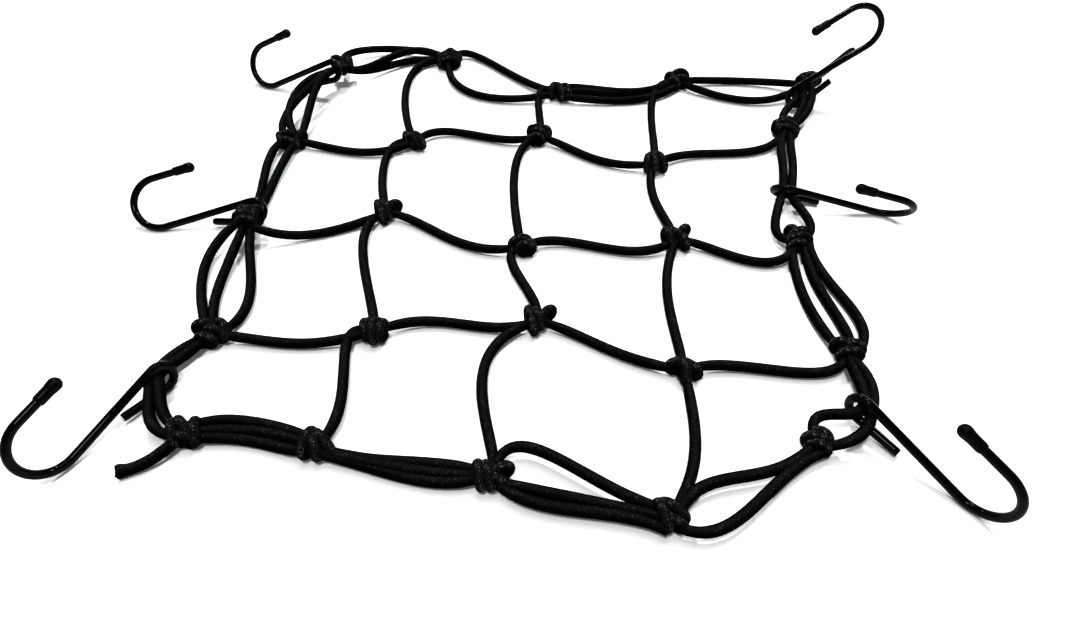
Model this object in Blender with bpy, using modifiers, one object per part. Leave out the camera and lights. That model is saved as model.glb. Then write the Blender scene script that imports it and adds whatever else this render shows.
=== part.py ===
"""Elastic cargo net: a knotted five by five bungee net, laid out flat, with six wire hooks.

Metres, +Z up.  The origin is on the surface under the middle knot, +X runs along the net's
front edge to the right and +Y runs from its front edge to its back edge.  Tables are in
millimetres and degrees.  A heading is the direction in the XY plane, counted from +X to +Y.
"""

import math
from collections import namedtuple

import bmesh
import bpy
import numpy as np

MM = 0.001

# ---------------------------------------------------------------- driving dimensions (mm)
CORD_DIAMETER = 6.0          # braided elastic cord
CORD_STEP = 18.0             # length of one straight piece of a cord's tube
EYE_CORD_STEP = 8.0          # the same, for a cord that bends through a hook's eye
CORD_ENTRY_HEIGHT = 6.5      # centre height at which a cord goes into a knot
KNOT_SIDES = 8               # steps around a knot
KNOT_CENTRE_HEIGHT = 5.75    # below its radius, so that its underside is pressed flat
TAIL_FLARE = 1.25            # width of a tail's cut end over the cord's

WIRE_DIAMETER = 4.7          # coated steel wire of a hook
WIRE_RESOLUTION = 2          # gives the wire's tube eight sides
EYE_RADIUS = 7.0             # bend round the cords, at the wire's centre
EYE_LEG = 25.5               # straight leg after the eye's bend
BEND_RADIUS = 16.5           # the hook's own bend, at the wire's centre

CAP_RADIUS = 3.35            # dipped vinyl cap on the hook's tip
CAP_LENGTH = 14.0
CAP_CLEARANCE = 0.3          # between the cap and the wire in it
CAP_END_WALL = 2.2           # vinyl beyond the wire's end
CAP_ROUND = 2.6              # rounding of the cap's outer end

# ---------------------------------------------------------------- tables
# turn is the heading of the knot's own axis; kind names a profile in KNOT_PROFILES.
Knot = namedtuple("Knot", "name x y turn kind lift")
KNOTS = (
    Knot("T0", -149, 216, 120, "corner", 8),
    Knot("T1", -65, 240, 90, "edge", 0),
    Knot("T2", 26, 187, 100, "edge", 0),
    Knot("T3", 125, 206, 75, "edge", 0),
    Knot("T4", 228, 199, 40, "corner", 3),
    Knot("L1", -171, 119, 0, "edge", 0),
    Knot("N11", -80, 117, 45, "cross", 0),
    Knot("N12", 11, 125, 45, "cross", 0),
    Knot("N13", 93, 89, 30, "cross", 0),
    Knot("R1", 197, 135, 60, "edge", 0),
    Knot("L2", -174, 17, 90, "edge", 9),
    Knot("N21", -89, 34, 60, "cross", 0),
    Knot("N22", 0, 0, 45, "cross", 0),
    Knot("N23", 98, 7, 50, "cross", 0),
    Knot("R2", 175, 6, 90, "edge", 0),
    Knot("L3", -172, -74, 40, "edge", 0),
    Knot("N31", -81, -72, 60, "cross", 0),
    Knot("N32", 11, -64, 30, "cross", 0),
    Knot("N33", 89, -100, 60, "cross", 0),
    Knot("R3", 180, -86, 95, "edge", 0),
    Knot("B0", -165, -140, 60, "corner", 0),
    Knot("B1", -98, -147, 60, "edge", 0),
    Knot("B2", -11, -164, 0, "edge", 0),
    Knot("B3", 71, -186, 80, "edge", 0),
    Knot("B4", 148, -146, 60, "edge", 0),
)

# Half a knot's outline: place along its axis and radius.  Each crest is a turn of cord.
KNOT_PROFILES = {
    "cross": ((9.2, 4.4), (6.6, 8.0), (3.4, 6.35), (0.0, 8.6), (-3.4, 6.35), (-6.6, 8.0), (-9.2, 4.4)),
    "edge": ((9.6, 3.8), (7.4, 6.7), (4.0, 7.2), (1.2, 6.3), (-1.6, 8.7), (-4.6, 9.4), (-7.2, 8.0), (-8.8, 4.6)),
    "corner": ((9.8, 4.6), (7.0, 8.3), (3.6, 6.35), (0.0, 8.9), (-3.6, 6.35), (-7.0, 8.3), (-9.8, 4.6)),
}

# A cord from knot to knot.  side: mm to the left of the line between the knots; leave and
# arrive: degrees to the left of that line; pull: how far the cord holds that direction, as
# a share of the line; middle: centre height halfway.
Cord = namedtuple("Cord", "start end side_a side_b leave arrive pull_a pull_b middle")
CORDS = (
    # inner cords, back to front
    Cord("T1", "N11", 0, 0, -104, 29, 0.40, 0.41, 3.7),
    Cord("N11", "N21", 0, 0, -110, 25, 0.38, 0.41, 4.2),
    Cord("N21", "N31", 0, 0, -75, 1, 0.29, 0.26, 4.2),
    Cord("N31", "B1", 0, 0, -102, -29, 0.47, 0.41, 4.2),
    Cord("T2", "N12", 0, 0, -129, -24, 0.70, 0.16, 4.2),
    Cord("N12", "N22", 0, 0, -64, 13, 0.20, 0.45, 3.7),
    Cord("N22", "N32", 0, 0, -87, -15, 0.31, 0.38, 4.2),
    Cord("N32", "B2", 0, 0, -59, -3, 0.56, 0.19, 4.2),
    Cord("T3", "N13", 0, 0, -89, 4, 0.29, 0.29, 3.7),
    Cord("N13", "N23", 0, 0, -25, 4, 0.38, 0.38, 4.2),
    Cord("N23", "N33", 0, 0, -18, 6, 0.39, 0.40, 3.7),
    Cord("N33", "B3", 0, 0, 14, -24, 0.39, 0.42, 4.2),
    # inner cords, left to right
    Cord("L1", "N11", 0, 0, -2, 37, 0.29, 0.45, 4.2),
    Cord("N11", "N12", 0, 0, 62, 21, 0.49, 0.40, 4.2),
    Cord("N12", "N13", 0, 0, 2, 28, 0.34, 0.48, 4.2),
    Cord("N13", "R1", 0, 0, 21, 42, 0.43, 0.47, 3.7),
    Cord("L2", "N21", -6, 0, -20, 15, 0.30, 0.42, 4.0),
    Cord("N21", "N22", 0, 0, 19, 35, 0.28, 0.43, 4.2),
    Cord("N22", "N23", 0, 0, 34, 38, 0.40, 0.42, 4.2),
    Cord("N23", "R2", 0, 0, 7, 66, 0.28, 0.62, 4.2),
    Cord("L3", "N31", 0, 0, -4, 17, 0.42, 0.48, 4.2),
    Cord("N31", "N32", 0, 0, 28, 17, 0.47, 0.38, 4.2),
    Cord("N32", "N33", 0, 0, 12, 11, 0.31, 0.46, 4.2),
    Cord("N33", "R3", 0, 0, 20, 65, 0.37, 0.36, 4.2),
    # back edge
    Cord("T0", "T1", 6, 6, 90, -60, 0.63, 0.36, 6.0),
    Cord("T0", "T1", -3, -3, -50, -66, 0.35, 0.77, 11.0),
    Cord("T0", "T1", -6, -6, -5, -54, 0.28, 0.60, 5.0),
    Cord("T1", "T2", 5, 2, 105, 13, 0.42, 0.35, 4.2),
    Cord("T1", "T2", -2, -2, -57, 45, 0.54, 0.41, 4.2),
    Cord("T2", "T3", 7, 6, 22, 43, 0.26, 0.54, 5.4),
    Cord("T2", "T3", 0, 1, 14, 28, 0.37, 0.54, 4.0),
    Cord("T2", "T3", -6, -4, -15, 39, 0.37, 0.38, 4.0),
    Cord("T3", "T4", 1, -5, 12, -25, 0.40, 0.37, 4.2),
    Cord("T3", "T4", -2, 0, -30, 51, 0.36, 0.50, 4.2),
    # right edge
    Cord("R2", "R3", -4, -4, -16, 15, 0.33, 0.34, 4.2),
    Cord("R2", "R3", 3, 3, -12, -12, 0.45, 0.32, 4.2),
    Cord("R2", "R3", 7, 7, -15, -39, 0.39, 0.39, 4.2),
    # front edge
    Cord("B4", "B3", -1, 4, 21, 42, 0.50, 0.45, 7.0),
    Cord("B4", "B3", 6, 5, -10, -58, 0.37, 0.35, 7.0),
    Cord("B3", "B2", -4, -6, 12, 85, 0.36, 0.38, 8.0),
    Cord("B3", "B2", 1, 3, -1, 1, 0.36, 0.39, 6.0),
    Cord("B3", "B2", 7, 2, -15, -30, 0.36, 0.38, 6.0),
    Cord("B2", "B1", 0, 1, -12, -10, 0.39, 0.36, 4.2),
    Cord("B2", "B1", 0, 5, 30, 5, 0.37, 0.37, 4.2),
    Cord("B2", "B1", 1, 3, 8, -3, 0.38, 0.36, 5.6),
    Cord("B1", "B0", -3, -4, -17, 34, 0.40, 0.34, 4.2),
    Cord("B1", "B0", 1, 0, -16, 13, 0.38, 0.44, 6.0),
    Cord("B1", "B0", 5, 5, -5, 24, 0.30, 0.43, 4.2),
    # left edge
    Cord("L3", "L2", 1, 2, 27, -60, 0.46, 0.38, 4.2),
    Cord("L3", "L2", -2, 0, 22, -11, 0.43, 0.41, 4.2),
    Cord("L3", "L2", -4, -4, -45, -12, 0.37, 0.28, 4.2),
)

# x, y, z: top of the eye, at the wire's centre.  heading: from the eye to the hook's bend;
# dip: how far the shank points down; lean: turn about the shank, top towards the heading's
# right.  shank and tip: straight lengths of the wire.  closing: degrees that the eye's leg
# leans back towards the shank.
Hook = namedtuple("Hook", "name x y z heading dip lean shank tip closing")
HOOKS = (
    Hook("1", -155, 197, 27.4, 173, 25, 33, 54, 26, 9),
    Hook("2", -177, 36, 14.3, 193, 11.2, 49, 57, 26, 18),
    Hook("3", -188.5, -108.5, 16.3, 239.5, 13, 14, 53, 23, 18),
    Hook("4", 173, -133, 20.2, -50, 17.2, 1, 56, 25, 9),
    Hook("5", 176, 47, 16.2, -7, 12.7, 38, 59, 27, 9),
    Hook("6", 209.3, 174.2, 16.4, 5, -35, -7, 58, 27, 9),
)

# A cord that goes through a hook's eye on its way.  place: mm along the shank from the
# eye's centre.  swing and rise: degrees that the cord turns in the eye, towards the hook's
# bend and towards the shank.  hold: how far it holds that direction before and after the
# eye, as a share of the line between knot and eye.  The rest is as for a cord.
EyeCord = namedtuple("EyeCord", "start hook place end side_a leave pull_a hold_a swing rise "
                                "hold_b side_b arrive pull_b")
EYE_CORDS = (
    EyeCord("L1", "1", 11.3, "T0", -6, 45, 0.54, 0.36, -5, 12, 0.30, -1, 3, 0.43),
    EyeCord("L1", "1", 5.0, "T0", 6, 37, 0.45, 0.30, 10, 25, 0.30, -3, 20, 0.43),
    EyeCord("L1", "1", -0.9, "T0", -6, 11, 0.55, 0.45, -5, 19, 0.25, -4, 17, 0.50),
    EyeCord("L1", "2", 5.0, "L2", -6, -26, 0.30, 0.24, 25, -5, 0.30, 4, -20, 0.45),
    EyeCord("L1", "2", -0.8, "L2", 4, -9, 0.47, 0.29, 5, -15, 0.30, 0, -12, 0.41),
    EyeCord("L3", "3", 7.0, "B0", 0, -25, 0.50, 0.30, 30, 8, 0.35, -3, 48, 0.50),
    EyeCord("L3", "3", 1.4, "B0", -1, 15, 0.45, 0.35, 22, 8, 0.40, 1, 35, 0.50),
    EyeCord("R3", "4", 5.6, "B4", -4, 40, 0.55, 0.20, 25, 10, 0.50, 3, -20, 0.30),
    EyeCord("R3", "4", -0.2, "B4", -1, 0, 0.39, 0.30, 3, 10, 0.45, -1, 65, 0.85),
    EyeCord("R1", "5", 5.0, "R2", 3, -3, 0.45, 0.36, -3, 18, 0.20, 2, -52, 0.52),
    EyeCord("R1", "5", -1.0, "R2", 2, -21, 0.35, 0.29, -2, 12, 0.26, -4, 93, 0.42),
    EyeCord("R1", "6", 11.3, "T4", -2, -29, 0.42, 0.33, -4, -9, 0.30, -3, 23, 0.40),
    EyeCord("R1", "6", 5.0, "T4", -1, -17, 0.37, 0.28, 5, 5, 0.30, 0, 1, 0.41),
    EyeCord("R1", "6", -0.8, "T4", 2, 25, 0.52, 0.30, 0, -12, 0.30, 1, -37, 0.35),
)

# A cord's free end.  turn: how much its heading changes along its length.
Tail = namedtuple("Tail", "knot heading turn length end_height")
TAILS = (
    Tail("B0", 248, -58, 34, 3.6),
    Tail("T4", 35, 11, 61, 17.0),
)


# ---------------------------------------------------------------- small helpers
def clear_scene():
    for item in list(bpy.data.objects):
        bpy.data.objects.remove(item)


def new_collection(name):
    collection = bpy.data.collections.new(name)
    bpy.context.scene.collection.children.link(collection)
    return collection


def principled(name, colour, roughness, metallic):
    material = bpy.data.materials.new(name)
    material.use_nodes = True
    shader = material.node_tree.nodes["Principled BSDF"]
    shader.inputs["Base Color"].default_value = (*colour, 1.0)
    shader.inputs["Roughness"].default_value = roughness
    shader.inputs["Metallic"].default_value = metallic
    return material


def flat_direction(degrees):
    angle = math.radians(degrees)
    return np.array([math.cos(angle), math.sin(angle), 0.0])


def bezier(p0, p1, p2, p3, count):
    """Cubic through p0 and p3, pulled towards p1 and p2, as count points."""
    t = np.linspace(0.0, 1.0, count)[:, None]
    return (1 - t) ** 3 * p0 + 3 * (1 - t) ** 2 * t * p1 + 3 * (1 - t) * t ** 2 * p2 + t ** 3 * p3


def even_points(points, step):
    """The same route in equal steps of about the given length, and three at least."""
    lengths = np.linalg.norm(np.diff(points, axis=0), axis=1)
    travelled = np.concatenate([[0.0], np.cumsum(lengths)])
    count = max(3, int(round(travelled[-1] / step)))
    places = np.linspace(0.0, travelled[-1], count + 1)
    columns = [np.interp(places, travelled, points[:, axis]) for axis in range(3)]
    return np.stack(columns, axis=1)


# ---------------------------------------------------------------- routes
KNOT_BY_NAME = {knot.name: knot for knot in KNOTS}
HOOK_BY_NAME = {hook.name: hook for hook in HOOKS}


def knot_centre(name):
    knot = KNOT_BY_NAME[name]
    return np.array([knot.x, knot.y, CORD_ENTRY_HEIGHT + knot.lift])


def heading_of(vector):
    return math.degrees(math.atan2(vector[1], vector[0]))


def cord_route(cord):
    """One cubic from knot to knot, with the height of its handles set by its middle height."""
    start = knot_centre(cord.start)
    end = knot_centre(cord.end)
    line = end - start
    heading = heading_of(line)
    left = flat_direction(heading + 90)
    span = np.linalg.norm(line[:2])
    p0 = start + left * cord.side_a
    p3 = end + left * cord.side_b
    p1 = p0 + flat_direction(heading + cord.leave) * span * cord.pull_a
    p2 = p3 - flat_direction(heading + cord.arrive) * span * cord.pull_b
    handle_height = (8 * cord.middle - p0[2] - p3[2]) / 6
    p1[2] = handle_height
    p2[2] = handle_height
    return bezier(p0, p1, p2, p3, 80)


def hook_axes(hook):
    """Directions along the shank and across it, towards the hook's tip."""
    forward = flat_direction(hook.heading)
    right = flat_direction(hook.heading - 90)
    dip = math.radians(hook.dip)
    lean = math.radians(hook.lean)
    along = forward * math.cos(dip) - np.array([0, 0, math.sin(dip)])
    above = forward * math.sin(dip) + np.array([0, 0, math.cos(dip)])
    across = above * math.cos(lean) + right * math.sin(lean)
    return along, across


def eye_point(hook, place):
    """A place in the middle of the eye, between its two legs."""
    along, across = hook_axes(hook)
    top = np.array([hook.x, hook.y, hook.z])
    closing = math.tan(math.radians(hook.closing)) * max(place, 0) / 2
    return top - across * (EYE_RADIUS - closing) + along * place


def eye_cord_route(cord):
    """Two cubics that meet in the eye with one direction, as one route."""
    hook = HOOK_BY_NAME[cord.hook]
    middle = eye_point(hook, cord.place)
    start = knot_centre(cord.start)
    end = knot_centre(cord.end)
    along, across = hook_axes(hook)
    normal = np.cross(along, across)
    if np.dot(normal, end - start) < 0:
        normal = -normal
    swing = math.tan(math.radians(cord.swing))
    rise = math.tan(math.radians(cord.rise))
    through = normal + along * swing + across * rise
    through = through / np.linalg.norm(through)

    line_a = middle - start
    left_a = flat_direction(heading_of(line_a) + 90)
    reach_a = np.linalg.norm(line_a[:2])
    p0 = start + left_a * cord.side_a
    p1 = p0 + flat_direction(heading_of(line_a) + cord.leave) * reach_a * cord.pull_a
    p1[2] = (2 * start[2] + middle[2]) / 3
    p2 = middle - through * reach_a * cord.hold_a

    line_b = end - middle
    left_b = flat_direction(heading_of(line_b) + 90)
    reach_b = np.linalg.norm(line_b[:2])
    p3 = end + left_b * cord.side_b
    p4 = p3 - flat_direction(heading_of(line_b) + cord.arrive) * reach_b * cord.pull_b
    p4[2] = (2 * end[2] + middle[2]) / 3
    p5 = middle + through * reach_b * cord.hold_b
    before = bezier(p0, p1, p2, middle, 60)
    after = bezier(middle, p5, p4, p3, 60)
    return np.concatenate([before, after[1:]])


def tail_route(tail):
    """A run whose heading turns evenly and whose height falls or rises to its end."""
    steps = 24
    start = knot_centre(tail.knot)
    share = np.linspace(0.0, 1.0, steps + 1)
    headings = np.radians(tail.heading + tail.turn * (share[:-1] + share[1:]) / 2)
    moves = np.stack([np.cos(headings), np.sin(headings)], axis=1) * tail.length / steps
    flat = start[:2] + np.concatenate([[[0.0, 0.0]], np.cumsum(moves, axis=0)])
    ease = share * share * (3 - 2 * share)
    height = start[2] + (tail.end_height - start[2]) * ease
    return np.column_stack([flat, height])


def hook_outline(hook):
    """The wire's centre line in its own plane: along the shank and across it."""
    points = []
    sweep = 180 + hook.closing
    eye_steps = 8
    end_angle = math.radians(sweep)
    bend_end = np.array([-EYE_RADIUS * math.sin(end_angle), -EYE_RADIUS + EYE_RADIUS * math.cos(end_angle)])
    leg_direction = np.array([-math.cos(end_angle), -math.sin(end_angle)])
    points.append(bend_end + leg_direction * EYE_LEG)
    for step in range(eye_steps, -1, -1):
        angle = math.radians(sweep * step / eye_steps)
        points.append(np.array([-EYE_RADIUS * math.sin(angle), -EYE_RADIUS + EYE_RADIUS * math.cos(angle)]))
    bend_steps = 11
    for step in range(bend_steps + 1):
        angle = math.pi * step / bend_steps
        points.append(np.array([hook.shank + BEND_RADIUS * math.sin(angle),
                                BEND_RADIUS - BEND_RADIUS * math.cos(angle)]))
    points.append(points[-1] + np.array([-hook.tip, 0.0]))
    return np.array(points)


def hook_route(hook):
    along, across = hook_axes(hook)
    outline = hook_outline(hook)
    top = np.array([hook.x, hook.y, hook.z])
    return top + outline[:, :1] * along + outline[:, 1:] * across


# ---------------------------------------------------------------- solids
def tube(name, points, diameter, resolution, widths=None):
    """A round tube along the points, in mm, as a mesh object with welded ends."""
    curve = bpy.data.curves.new(name, "CURVE")
    curve.dimensions = "3D"
    curve.bevel_depth = diameter / 2 * MM
    curve.bevel_resolution = resolution
    curve.use_fill_caps = True
    spline = curve.splines.new("POLY")
    spline.points.add(len(points) - 1)
    for place, point in enumerate(points):
        spline.points[place].co = (*(point * MM), 1.0)
        if widths is not None:
            spline.points[place].radius = widths[place]
    carrier = bpy.data.objects.new(name, curve)
    bpy.context.scene.collection.objects.link(carrier)
    mesh = bpy.data.meshes.new_from_object(carrier.evaluated_get(bpy.context.evaluated_depsgraph_get()))
    bpy.data.objects.remove(carrier)
    weld(mesh)
    mesh.name = name
    return bpy.data.objects.new(name, mesh)


def weld(mesh):
    work = bmesh.new()
    work.from_mesh(mesh)
    bmesh.ops.remove_doubles(work, verts=work.verts, dist=0.00001)
    bmesh.ops.recalc_face_normals(work, faces=work.faces)
    work.to_mesh(mesh)
    work.free()


def turned_mesh(name, profile, steps):
    """A profile of (radius, height) points in mm, turned about Z."""
    outline = bpy.data.meshes.new(name)
    points = [(radius * MM, 0.0, height * MM) for radius, height in profile]
    outline.from_pydata(points, [(i, i + 1) for i in range(len(points) - 1)], [])
    carrier = bpy.data.objects.new(name, outline)
    bpy.context.scene.collection.objects.link(carrier)
    screw = carrier.modifiers.new("turn", "SCREW")
    screw.steps = steps
    screw.render_steps = steps
    screw.use_merge_vertices = True
    screw.merge_threshold = 0.00001
    mesh = bpy.data.meshes.new_from_object(carrier.evaluated_get(bpy.context.evaluated_depsgraph_get()))
    bpy.data.objects.remove(carrier)
    weld(mesh)
    mesh.name = name
    return mesh


def place_points(mesh, origin, axis_x, axis_y, axis_z):
    """Move a mesh's points from its own axes to the world's, in place."""
    count = len(mesh.vertices)
    flat = np.empty(count * 3)
    mesh.vertices.foreach_get("co", flat)
    local = flat.reshape(count, 3)
    world = origin * MM + local @ np.array([axis_x, axis_y, axis_z])
    mesh.vertices.foreach_set("co", world.ravel())
    mesh.update()
    return world


def make_knot(knot):
    """Turns of cord about a lying axis, pressed flat where they rest on the surface."""
    profile = [(radius, place) for place, radius in KNOT_PROFILES[knot.kind]]
    first = (0.0, profile[0][1])
    last = (0.0, profile[-1][1])
    mesh = turned_mesh("knot_" + knot.name, [first, *profile, last], KNOT_SIDES)
    axis = flat_direction(knot.turn)
    half_step = math.pi / KNOT_SIDES
    level = flat_direction(knot.turn + 90)
    upward = np.array([0.0, 0.0, 1.0])
    side = level * math.cos(half_step) + upward * math.sin(half_step)
    up = upward * math.cos(half_step) - level * math.sin(half_step)
    centre = np.array([knot.x, knot.y, KNOT_CENTRE_HEIGHT + knot.lift])
    world = place_points(mesh, centre, side, up, axis)
    world[:, 2] = np.maximum(world[:, 2], knot.lift * MM)
    mesh.vertices.foreach_set("co", world.ravel())
    mesh.update()
    weld(mesh)
    return bpy.data.objects.new("knot_" + knot.name, mesh)


def make_net(parts, cutters, material):
    """Every knot, cord and tail, fused into one solid."""
    pieces = []
    for knot in KNOTS:
        pieces.append(make_knot(knot))
    for number, cord in enumerate(CORDS):
        points = even_points(cord_route(cord), CORD_STEP)
        pieces.append(tube("cord_%02d" % number, points, CORD_DIAMETER, 1))
    for number, cord in enumerate(EYE_CORDS):
        points = even_points(eye_cord_route(cord), EYE_CORD_STEP)
        pieces.append(tube("eye_cord_%02d" % number, points, CORD_DIAMETER, 1))
    for number, tail in enumerate(TAILS):
        points = even_points(tail_route(tail), CORD_STEP)
        widths = np.ones(len(points))
        widths[-1] = TAIL_FLARE
        pieces.append(tube("tail_%02d" % number, points, CORD_DIAMETER, 1, widths))
    net = pieces[0]
    net.name = "net"
    net.data.name = "net"
    parts.objects.link(net)
    for piece in pieces[1:]:
        cutters.objects.link(piece)
        piece.hide_render = True
        piece.display_type = "WIRE"
    union = net.modifiers.new("fuse", "BOOLEAN")
    union.operation = "UNION"
    union.solver = "EXACT"
    union.operand_type = "COLLECTION"
    union.collection = cutters
    net.data.materials.append(material)
    return net


def make_hook(hook, parts, material):
    wire = tube("hook_" + hook.name, hook_route(hook), WIRE_DIAMETER, WIRE_RESOLUTION)
    wire.data.materials.append(material)
    for polygon in wire.data.polygons:
        polygon.use_smooth = True
    parts.objects.link(wire)


def make_cap(hook, parts, material):
    """A closed sleeve, open towards the hook's bend, with the wire's end inside."""
    bore = WIRE_DIAMETER / 2 + CAP_CLEARANCE
    bore_end = CAP_LENGTH - CAP_END_WALL
    rounding = CAP_RADIUS * 0.5
    profile = [
        (0.0, CAP_LENGTH),
        (rounding, CAP_LENGTH - 0.15 * CAP_ROUND),
        (CAP_RADIUS - 0.4, CAP_LENGTH - 0.5 * CAP_ROUND),
        (CAP_RADIUS, CAP_LENGTH - CAP_ROUND),
        (CAP_RADIUS, 0.0),
        (bore, 0.0),
        (bore, bore_end),
        (0.0, bore_end),
    ]
    mesh = turned_mesh("tip_cap_" + hook.name, profile, 12)
    along, across = hook_axes(hook)
    route = hook_route(hook)
    mouth = route[-1] + along * (bore_end - CAP_CLEARANCE)
    place_points(mesh, mouth, across, np.cross(across, along), -along)
    weld(mesh)
    mesh.materials.append(material)
    for polygon in mesh.polygons:
        polygon.use_smooth = True
    parts.objects.link(bpy.data.objects.new("tip_cap_" + hook.name, mesh))


def main():
    clear_scene()
    parts = new_collection("cargo_net")
    cutters = new_collection("net_pieces")
    cord = principled("braided_elastic_cord", (0.006, 0.007, 0.007), 0.62, 0.0)
    coating = principled("gloss_coated_steel", (0.004, 0.004, 0.004), 0.16, 0.0)
    vinyl = principled("dipped_vinyl", (0.006, 0.006, 0.006), 0.42, 0.0)
    make_net(parts, cutters, cord)
    for hook in HOOKS:
        make_hook(hook, parts, coating)
        make_cap(hook, parts, vinyl)


main()
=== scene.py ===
"""Elastic cargo net: braided cords, wrapped knots, six coated wire hooks with dipped tips.

The routes of the cords and the hooks are those of the part's own source.  Tables are in
millimetres and degrees, and every mesh is in metres.  A heading is the direction in the XY
plane, counted from +X to +Y.
"""

import math
from collections import namedtuple
from functools import partial

import bpy
import numpy as np
from bpy.props import FloatProperty, FloatVectorProperty, PointerProperty
from bpy.types import Operator, Panel, PropertyGroup
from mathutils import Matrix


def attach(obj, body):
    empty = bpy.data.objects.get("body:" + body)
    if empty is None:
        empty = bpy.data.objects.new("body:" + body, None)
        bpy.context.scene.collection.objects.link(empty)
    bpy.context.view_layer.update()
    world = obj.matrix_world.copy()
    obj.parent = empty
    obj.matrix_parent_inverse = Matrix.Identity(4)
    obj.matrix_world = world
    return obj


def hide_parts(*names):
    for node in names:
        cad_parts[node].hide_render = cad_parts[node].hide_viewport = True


bl_info = {
    "name": "Elastic cargo net",
    "version": (1, 0, 0),
    "blender": (4, 5, 0),
    "location": "3D View > Sidebar > Cargo net",
    "description": "Dresses the packed cargo net: braided cords, knots, wire hooks and dipped tips",
    "category": "Add Mesh",
}

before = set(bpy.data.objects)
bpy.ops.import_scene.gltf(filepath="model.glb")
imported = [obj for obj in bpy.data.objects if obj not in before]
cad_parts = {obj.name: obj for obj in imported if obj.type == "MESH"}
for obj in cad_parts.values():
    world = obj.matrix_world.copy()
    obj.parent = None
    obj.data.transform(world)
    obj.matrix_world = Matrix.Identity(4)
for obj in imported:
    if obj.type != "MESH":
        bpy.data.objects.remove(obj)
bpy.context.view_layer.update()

MM = 0.001
UP = np.array([0.0, 0.0, 1.0])

# ------------ fixed sizes (mm)
CORD_STEP = 2.4              # length of one ring of a cord's skin
CORD_SIDES = 16
CORD_ENTRY_HEIGHT = 6.5      # centre height at which a cord goes into a knot
CORD_UNEVENNESS = 0.012      # share of a cord's width that its waves add
LONG_SWELL, SHORT_SWELL = 11.0, 4.7     # the waves' lengths over a full turn in radians
GRIP = 0.14                  # share of a cord's width that a knot takes off beside it
GRIP_START, GRIP_FADE = 7.0, 6.0        # from the knot's centre, and from there on
TAIL_STEP = 1.2
TAIL_FLARE = 3.0             # length over which a free end widens or narrows
KNOT_MIDDLE = 6.9            # centre height of a knot's turns
KNOT_UNEVENNESS = 0.02
CORE_HALF_LENGTH = 6.0       # cord packed inside a knot
CORE_WIDTH = 1.25            # its width over the cord's
TURN_STEP = 6.0              # degrees of one ring of a turn's skin
TURN_RAMP = 50.0             # degrees in which a turn's end goes down into its knot
TURN_SIDES = 14
TURN_TIGHTNESS = 0.93        # width of a cord drawn tight in a knot over its width outside
GROUND_GAP = 0.02
EYE_RADIUS = 7.0             # bend round the cords, at the wire's centre
EYE_LEG = 25.5               # straight leg after the eye's bend
BEND_RADIUS = 16.5           # the hook's own bend, at the wire's centre
WIRE_STEP = 1.3
WIRE_SIDES = 24
WIRE_END_BURR = 0.35         # how much the sheared ends are rounded off
CAP_LENGTH = 14.0
CAP_CLEARANCE = 0.3          # between the cap and the wire in it
CAP_END_WALL = 2.2           # vinyl beyond the wire's end
CAP_FIT = 0.05               # between the bore and the wire beside it
CAP_TAPER = 4.5              # length in which the ball end narrows to the sleeve
CAP_NARROWING = 0.42         # how much it narrows, on the radius
PLAIT_PAIRS = 8.0            # pairs of plaits round the cord
PLAIT_LENGTH = 3.0

# ------------ tables
# turn: heading of the cord packed inside the knot.  lift: height that the knot hangs at.
Knot = namedtuple("Knot", "name x y turn lift", defaults=(0,))
KNOTS = (
    Knot("T0", -149, 216, 120, 8),
    Knot("T1", -65, 240, 90),
    Knot("T2", 26, 187, 100),
    Knot("T3", 125, 206, 75),
    Knot("T4", 228, 199, 40, 3),
    Knot("L1", -171, 119, 0),
    Knot("N11", -80, 117, 45),
    Knot("N12", 11, 125, 45),
    Knot("N13", 93, 89, 30),
    Knot("R1", 197, 135, 60),
    Knot("L2", -174, 17, 90, 9),
    Knot("N21", -89, 34, 60),
    Knot("N22", 0, 0, 45),
    Knot("N23", 98, 7, 50),
    Knot("R2", 175, 6, 90),
    Knot("L3", -172, -74, 40),
    Knot("N31", -81, -72, 60),
    Knot("N32", 11, -64, 30),
    Knot("N33", 89, -100, 60),
    Knot("R3", 180, -86, 95),
    Knot("B0", -165, -140, 60),
    Knot("B1", -98, -147, 60),
    Knot("B2", -11, -164, 0),
    Knot("B3", 71, -186, 80),
    Knot("B4", 148, -146, 60),
)

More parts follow.
